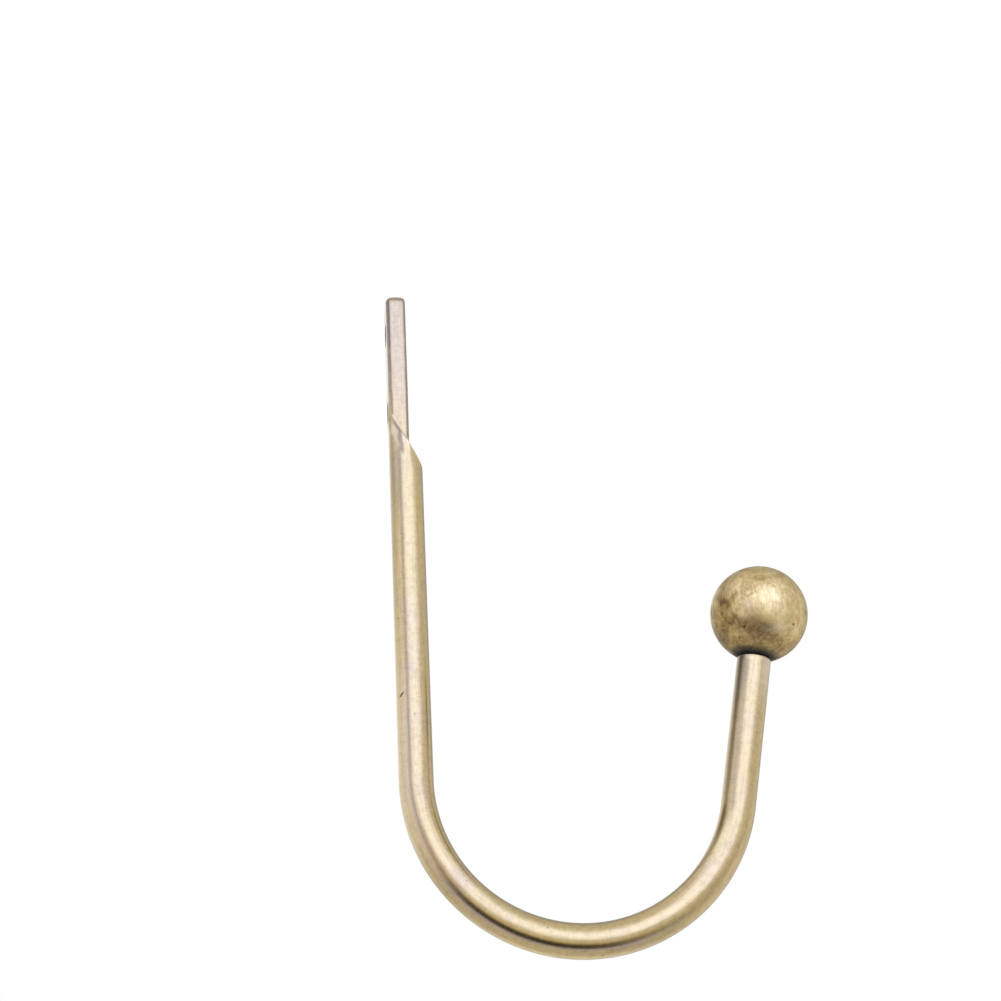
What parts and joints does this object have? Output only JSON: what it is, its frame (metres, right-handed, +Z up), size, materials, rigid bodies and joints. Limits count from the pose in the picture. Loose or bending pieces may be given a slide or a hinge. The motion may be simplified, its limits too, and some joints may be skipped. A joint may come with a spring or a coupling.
{
  "type": "curtain holdback",
  "caption": "J-shaped curtain holdback: round rod with a flat screw tongue for the wall, a deep open bend that gathers the curtain, and a ball screwed on the free end.",
  "frame": {"origin": "on the tongue's wall face, halfway between the screw holes", "axes": "+Z up along the straight rod, +X out from the wall into the room, Y along the wall"},
  "size_m": [0.0986, 0.023, 0.1632],
  "materials": {
    "brushed_antique_brass": "antique brass plate over steel, brushed round the rod",
    "rubbed_antique_brass": "darker antique brass plate over steel, rubbed by hand and blotched"
  },
  "bodies": {
    "root": {"hook_rod": "brushed_antique_brass", "ball_finial": "rubbed_antique_brass"}
  },
  "joints": []
}
